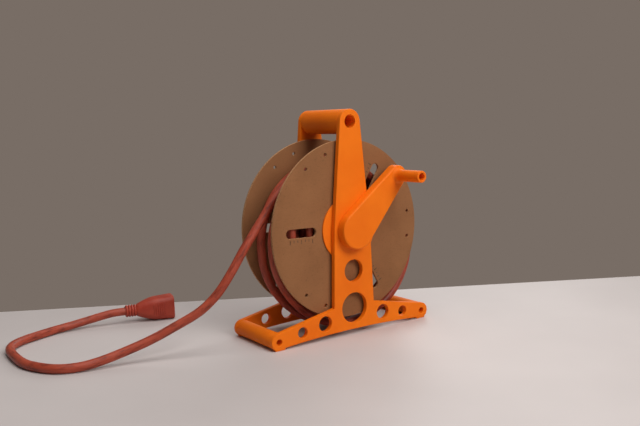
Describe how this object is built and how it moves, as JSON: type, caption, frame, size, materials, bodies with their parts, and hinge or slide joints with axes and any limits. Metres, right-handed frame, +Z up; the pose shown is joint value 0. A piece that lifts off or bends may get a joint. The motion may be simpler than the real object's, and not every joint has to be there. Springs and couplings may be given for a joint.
{
  "type": "extension cable reel",
  "caption": "Hand-cranked extension cable reel: a cardboard spool of cord that turns between two printed side frames joined by a carry handle and foot tubes.",
  "frame": {"origin": "on the floor, under the middle of the reel's box from the crank peg's end to the rear cap", "axes": "+Z up, the reel's axis along Y with the crank at -Y, +X to the right seen from the crank"},
  "size_m": [0.4461, 0.2883, 0.2519],
  "materials": {
    "printed_orange": "layered print, satin",
    "cardboard": "brown pressed cardboard, matte",
    "cord_jacket": "red-orange vinyl jacket, satin",
    "connector_red": "moulded vinyl, satin",
    "steel": "zinc plated",
    "brass": "plain"
  },
  "bodies": {
    "frame": {"front_side_frame": "printed_orange", "rear_side_frame": "printed_orange", "handle_tube": "printed_orange", "left_foot_tube": "printed_orange", "right_foot_tube": "printed_orange", "cord_loose_turns": "cord_jacket", "cord_free_end": "cord_jacket", "connector_relief": "connector_red", "connector_body": "connector_red", "connector_contacts": "brass"},
    "reel": {"front_flange": "cardboard", "rear_flange": "cardboard", "spool_core": "cardboard", "front_hub": "printed_orange", "rear_hub": "printed_orange", "crank_arm": "printed_orange", "crank_insert": "brass", "axle_bolt": "steel", "bolt_washer": "steel", "rear_cap": "printed_orange", "cord_core": "cord_jacket", "cord_wound_layer": "cord_jacket"}
  },
  "joints": [
    {"name": "reel_spin", "type": "hinge", "parent": "frame", "child": "reel", "pos_m": [0, 0.0205, 0.1187], "axis": [0, 1, 0], "continuous": true}
  ]
}
